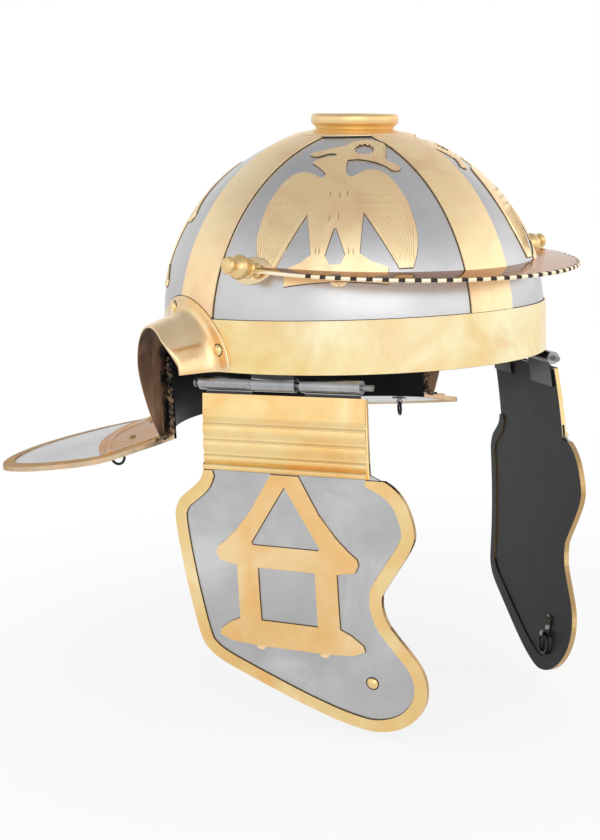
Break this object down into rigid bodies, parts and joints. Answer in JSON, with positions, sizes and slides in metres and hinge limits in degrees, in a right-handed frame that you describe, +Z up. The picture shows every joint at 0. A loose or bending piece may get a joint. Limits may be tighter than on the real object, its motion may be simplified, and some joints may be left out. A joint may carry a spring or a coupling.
{
  "type": "helmet",
  "caption": "Steel bowl helmet with brass trim, brow guard, ear guards, sloping neck guard and hinged cheek pieces with tie rings.",
  "frame": {"origin": "centre of the rim, level with the lower edge of the brow band, where the wearer's head goes in", "axes": "+X to the front, +Y to the wearer's left, +Z up to the crown"},
  "size_m": [0.3494, 0.3158, 0.3177],
  "materials": {
    "steel_satin": "satin sheet steel with fine marks",
    "brass_gold": "polished, with warm orange mottling",
    "brass_pale": "satin pale brass sheet",
    "brass_rose": "satin brass with a pink tint",
    "steel_hinge": "dull steel",
    "iron_black": "blackened"
  },
  "bodies": {
    "helmet": {"skull_bowl": "steel_satin", "neck_guard": "steel_satin", "neck_guard_binding": "brass_gold", "nape_plate": "brass_rose", "carry_handle": "brass_gold", "nape_rivets": "brass_gold", "ear_guard_right": "brass_gold", "ear_guard_left": "brass_gold", "ear_rivets_right": "brass_gold", "ear_rivets_left": "brass_gold", "brow_band": "brass_gold", "brow_guard": "brass_gold", "brow_knob_right": "brass_gold", "brow_knob_left": "brass_gold", "strip_front": "brass_pale", "strip_right": "brass_pale", "strip_left": "brass_pale", "strip_rear": "brass_pale", "crown_plate": "brass_gold", "crest_socket": "brass_gold", "eagle_right": "brass_pale", "eagle_left": "brass_pale", "temple_rear_right": "brass_pale", "temple_rear_left": "brass_pale", "hinge_leaf_right": "steel_hinge", "hinge_leaf_left": "steel_hinge", "hinge_pin_right": "steel_hinge", "hinge_pin_left": "steel_hinge", "neck_staple_right": "steel_hinge", "neck_staple_left": "steel_hinge"},
    "cheek_piece_right": {"cheek_plate_right": "steel_satin", "cheek_leaf_right": "steel_hinge", "cheek_panel_right": "brass_gold", "cheek_binding_right": "brass_gold", "cheek_temple_right": "brass_pale", "cheek_rivet_right": "brass_gold", "cheek_strap_right": "steel_hinge"},
    "cheek_piece_left": {"cheek_plate_left": "steel_satin", "cheek_leaf_left": "steel_hinge", "cheek_panel_left": "brass_gold", "cheek_binding_left": "brass_gold", "cheek_temple_left": "brass_pale", "cheek_rivet_left": "brass_gold", "cheek_strap_left": "steel_hinge"},
    "chin_ring_right": {"cheek_ring_right": "iron_black"},
    "chin_ring_left": {"cheek_ring_left": "iron_black"},
    "nape_ring_right": {"neck_ring_right": "iron_black"},
    "nape_ring_left": {"neck_ring_left": "iron_black"}
  },
  "joints": [
    {"name": "cheek_swing_right", "type": "hinge", "parent": "helmet", "child": "cheek_piece_right", "pos_m": [0.0466, -0.08974, -0.006], "axis": [0.9063, 0.4226, 0], "range_deg": [-80, 12]},
    {"name": "cheek_swing_left", "type": "hinge", "parent": "helmet", "child": "cheek_piece_left", "pos_m": [0.0466, 0.08974, -0.006], "axis": [-0.9063, 0.4226, 0], "range_deg": [-83, 9]},
    {"name": "chin_ring_swing_right", "type": "hinge", "parent": "cheek_piece_right", "child": "chin_ring_right", "pos_m": [0.09234, -0.06858, -0.16355], "axis": [0.9063, 0.4226, 0], "range_deg": [0, 115]},
    {"name": "chin_ring_swing_left", "type": "hinge", "parent": "cheek_piece_left", "child": "chin_ring_left", "pos_m": [0.08886, 0.06111, -0.16334], "axis": [-0.9063, 0.4226, 0], "range_deg": [0, 115]},
    {"name": "nape_ring_swing_right", "type": "hinge", "parent": "helmet", "child": "nape_ring_right", "pos_m": [-0.084, -0.11, -0.05334], "axis": [0.866, 0.5, 0], "range_deg": [-70, 70]},
    {"name": "nape_ring_swing_left", "type": "hinge", "parent": "helmet", "child": "nape_ring_left", "pos_m": [-0.084, 0.11, -0.05334], "axis": [-0.866, 0.5, 0], "range_deg": [-70, 70]}
  ]
}
